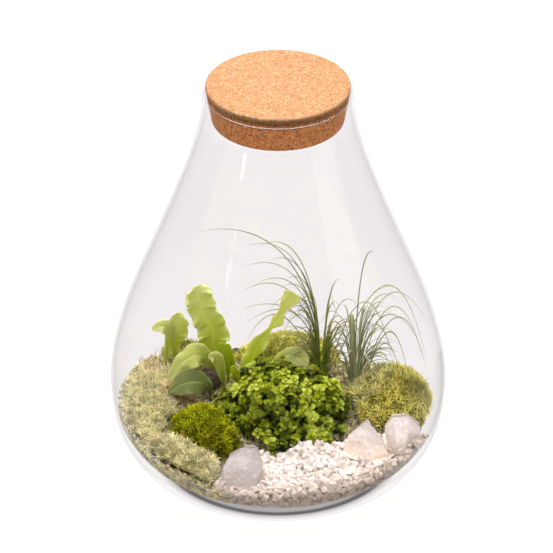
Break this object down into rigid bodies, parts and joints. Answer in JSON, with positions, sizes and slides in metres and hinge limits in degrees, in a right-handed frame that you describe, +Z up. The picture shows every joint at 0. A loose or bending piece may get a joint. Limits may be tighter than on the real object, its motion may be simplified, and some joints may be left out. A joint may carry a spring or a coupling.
{
  "type": "glass plant terrarium",
  "caption": "Pear-shaped glass jar with a cork stopper, planted with moss, a strap fern, grass and a low leafy bush on soil, with white gravel and stones.",
  "frame": {"origin": "Centre of the jar's base ring, on the surface that the jar stands on.", "axes": "+Z is up through the cork stopper, -Y is the front with the gravel and stones, +X is to the right."},
  "size_m": [0.22, 0.22, 0.2774],
  "materials": {
    "glass": "polished",
    "cork": "matte",
    "soil": "matte",
    "gravel": "matte",
    "stone": "matte",
    "moss": "matte",
    "fern": "satin",
    "grass": "satin",
    "leaf": "satin"
  },
  "bodies": {
    "root": {"glass_jar": "glass", "cork_stopper": "cork", "potting_soil": "soil", "gravel_bed": "gravel", "stone_left": "stone", "stone_middle": "stone", "stone_right": "stone", "moss_front_left": "moss", "moss_right": "moss", "moss_back_centre": "moss", "moss_left_bank": "moss", "moss_back_left": "moss", "moss_front_slope": "moss", "fern_frond_tall": "fern", "fern_frond_back_left": "fern", "fern_frond_far_left": "fern", "fern_frond_arching": "fern", "fern_frond_shaded": "fern", "fern_frond_right": "fern", "fern_frond_upright": "fern", "fern_frond_slender": "fern", "fern_frond_round": "fern", "fern_frond_curled": "fern", "grass_tuft_left": "grass", "grass_tuft_right": "grass", "bush_spray_front_left": "leaf", "bush_spray_front_middle": "leaf", "bush_spray_front_right": "leaf", "bush_spray_back_left": "leaf", "bush_spray_back_right": "leaf"}
  },
  "joints": []
}
